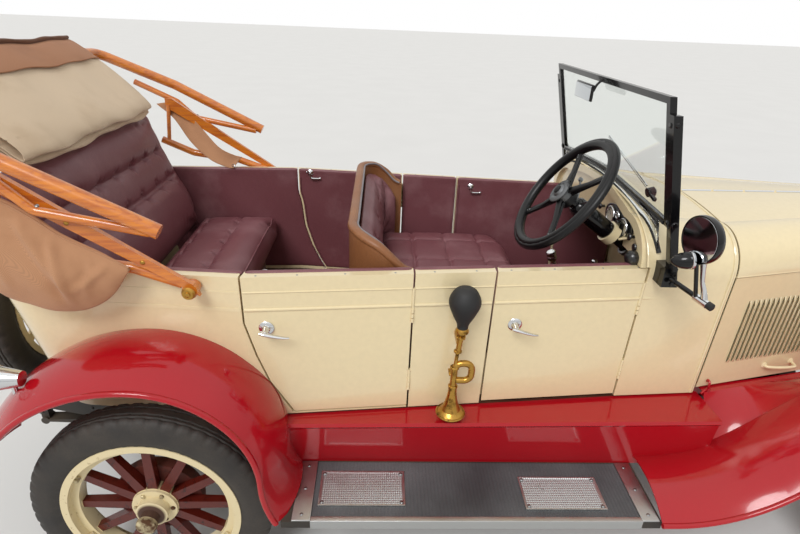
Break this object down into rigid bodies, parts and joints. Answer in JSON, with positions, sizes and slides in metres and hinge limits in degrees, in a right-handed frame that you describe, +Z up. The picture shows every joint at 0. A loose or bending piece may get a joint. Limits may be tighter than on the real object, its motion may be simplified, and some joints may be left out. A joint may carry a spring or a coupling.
{
  "type": "vintage open touring car",
  "caption": "Open touring car of the late 1920s with its hood folded: doors, bonnet leaves, steering and road wheels move on their own pivots.",
  "frame": {"origin": "middle of the car in plan, on the ground under the tyres", "axes": "+X forward along the car, +Y to the car's left, +Z up"},
  "size_m": [3.8521, 1.665, 1.706],
  "materials": {
    "body_cream": "gloss cream coach paint",
    "fender_red": "gloss cherry-red paint",
    "frame_black": "gloss black paint",
    "engine_iron": "painted cast iron",
    "rusty_steel": "dull, lightly rusted",
    "tyre_rubber": "matt black rubber",
    "wheel_wood": "dark-red painted wood spokes, cream steel rim",
    "floor_wood": "dark boards",
    "hood_wood": "varnished ash",
    "leather_maroon": "buttoned leathercloth",
    "leather_tan": "tan-brown leathercloth",
    "hood_cloth": "beige hood cloth",
    "pane_glass": "clear flat glass",
    "bright_plate": "bright plate",
    "horn_brass": "polished brass",
    "tread_board": "grey-black ribbed mat with aluminium edges",
    "wheel_rim_black": "black hard rubber"
  },
  "bodies": {
    "car_body": {"bulb_horn": "horn_brass", "centre_pillars": "body_cream", "chassis_cross_members": "frame_black", "chassis_rails": "frame_black", "cowl": "body_cream", "engine_block": "engine_iron", "exhaust": "rusty_steel", "floor": "floor_wood", "front_axle": "frame_black", "front_fenders": "fender_red", "front_seat_shell": "leather_tan", "front_seat_upholstery": "leather_maroon", "fuel_tank": "frame_black", "gearbox_and_torque_tube": "engine_iron", "hand_levers": "bright_plate", "hood_bows": "hood_wood", "hood_fabric": "hood_cloth", "lamp_bar": "bright_plate", "lamps": "bright_plate", "leaf_springs": "frame_black", "radiator": "bright_plate", "rear_axle": "frame_black", "rear_fenders": "fender_red", "rear_seat_upholstery": "leather_maroon", "rear_tub": "body_cream", "running_boards": "tread_board", "side_mirror": "frame_black", "spare_rim": "body_cream", "spare_tyre": "tyre_rubber", "splash_aprons": "fender_red", "steering_column": "frame_black", "windscreen_frame": "frame_black", "windscreen_glass": "pane_glass"},
    "front_right_road_wheel": {"front_right_tyre": "tyre_rubber", "front_right_wheel": "wheel_wood"},
    "front_left_road_wheel": {"front_left_tyre": "tyre_rubber", "front_left_wheel": "wheel_wood"},
    "rear_right_road_wheel": {"rear_right_tyre": "tyre_rubber", "rear_right_wheel": "wheel_wood"},
    "rear_left_road_wheel": {"rear_left_tyre": "tyre_rubber", "rear_left_wheel": "wheel_wood"},
    "right_steering_knuckle": {"right_knuckle": "frame_black"},
    "left_steering_knuckle": {"left_knuckle": "frame_black"},
    "steering_track_rod": {"track_rod": "frame_black"},
    "hand_wheel": {"steering_wheel": "wheel_rim_black"},
    "rear_door_right_leaf": {"rear_door_right": "body_cream"},
    "rear_door_left_leaf": {"rear_door_left": "body_cream"},
    "front_door_right_leaf": {"front_door_right": "body_cream"},
    "front_door_left_leaf": {"front_door_left": "body_cream"},
    "bonnet_top_right_leaf": {"bonnet_top_right": "body_cream"},
    "bonnet_side_right_leaf": {"bonnet_side_right": "body_cream"},
    "bonnet_top_left_leaf": {"bonnet_top_left": "body_cream"},
    "bonnet_side_left_leaf": {"bonnet_side_left": "body_cream"}
  },
  "joints": [
    {"name": "front_right_spin", "type": "hinge", "parent": "right_steering_knuckle", "child": "front_right_road_wheel", "pos_m": [1.493, -0.711, 0.381], "axis": [0, 1, 0], "continuous": true},
    {"name": "front_left_spin", "type": "hinge", "parent": "left_steering_knuckle", "child": "front_left_road_wheel", "pos_m": [1.493, 0.711, 0.381], "axis": [0, 1, 0], "continuous": true},
    {"name": "rear_right_spin", "type": "hinge", "parent": "car_body", "child": "rear_right_road_wheel", "pos_m": [-1.225, -0.711, 0.381], "axis": [0, 1, 0], "continuous": true},
    {"name": "rear_left_spin", "type": "hinge", "parent": "car_body", "child": "rear_left_road_wheel", "pos_m": [-1.225, 0.711, 0.381], "axis": [0, 1, 0], "continuous": true},
    {"name": "steer_right", "type": "hinge", "parent": "car_body", "child": "right_steering_knuckle", "pos_m": [1.493, -0.61, 0.381], "axis": [0, 0, 1], "range_deg": [-30, 30]},
    {"name": "steer_left", "type": "hinge", "parent": "car_body", "child": "left_steering_knuckle", "pos_m": [1.493, 0.61, 0.381], "axis": [0, 0, 1], "range_deg": [-30, 30]},
    {"name": "track_rod_pivot", "type": "hinge", "parent": "right_steering_knuckle", "child": "steering_track_rod", "pos_m": [1.343, -0.61, 0.305], "axis": [0, 0, 1], "range_deg": [-30, 30]},
    {"name": "hand_wheel_turn", "type": "hinge", "parent": "car_body", "child": "hand_wheel", "pos_m": [0.098, -0.28, 1.334], "axis": [-0.809, 0, 0.5878], "range_deg": [-300, 300]},
    {"name": "rear_door_right_hinge", "type": "hinge", "parent": "car_body", "child": "rear_door_right_leaf", "pos_m": [-0.407, -0.54225, 0.9], "axis": [0, -0.0348, 0.9994], "range_deg": [0, 70]},
    {"name": "rear_door_left_hinge", "type": "hinge", "parent": "car_body", "child": "rear_door_left_leaf", "pos_m": [-0.407, 0.54225, 0.9], "axis": [0, -0.0348, -0.9994], "range_deg": [0, 70]},
    {"name": "front_door_right_hinge", "type": "hinge", "parent": "car_body", "child": "front_door_right_leaf", "pos_m": [0.346, -0.46695, 0.9], "axis": [0, -0.0348, 0.9994], "range_deg": [0, 70]},
    {"name": "front_door_left_hinge", "type": "hinge", "parent": "car_body", "child": "front_door_left_leaf", "pos_m": [0.346, 0.46695, 0.9], "axis": [0, -0.0348, -0.9994], "range_deg": [0, 70]},
    {"name": "bonnet_right_lift", "type": "hinge", "parent": "car_body", "child": "bonnet_top_right_leaf", "pos_m": [1.03535, 0, 1.28], "axis": [-0.9999, 0, -0.0127], "range_deg": [0, 60]},
    {"name": "bonnet_right_fold", "type": "hinge", "parent": "bonnet_top_right_leaf", "child": "bonnet_side_right_leaf", "pos_m": [1.0425, -0.3595, 1.12], "axis": [-0.9724, -0.2332, 0], "range_deg": [-30, 0]},
    {"name": "bonnet_left_lift", "type": "hinge", "parent": "car_body", "child": "bonnet_top_left_leaf", "pos_m": [1.03535, 0, 1.28], "axis": [0.9999, 0, 0.0127], "range_deg": [0, 60]},
    {"name": "bonnet_left_fold", "type": "hinge", "parent": "bonnet_top_left_leaf", "child": "bonnet_side_left_leaf", "pos_m": [1.0425, 0.3595, 1.12], "axis": [0.9724, -0.2332, 0], "range_deg": [-30, 0]}
  ],
  "couplings": [
    {"joint": "steer_left", "follows": "steer_right", "ratio": 1},
    {"joint": "track_rod_pivot", "follows": "steer_right", "ratio": -1},
    {"joint": "hand_wheel_turn", "follows": "steer_right", "ratio": 10},
    {"joint": "bonnet_right_fold", "follows": "bonnet_right_lift", "ratio": -0.5},
    {"joint": "bonnet_left_fold", "follows": "bonnet_left_lift", "ratio": -0.5}
  ]
}
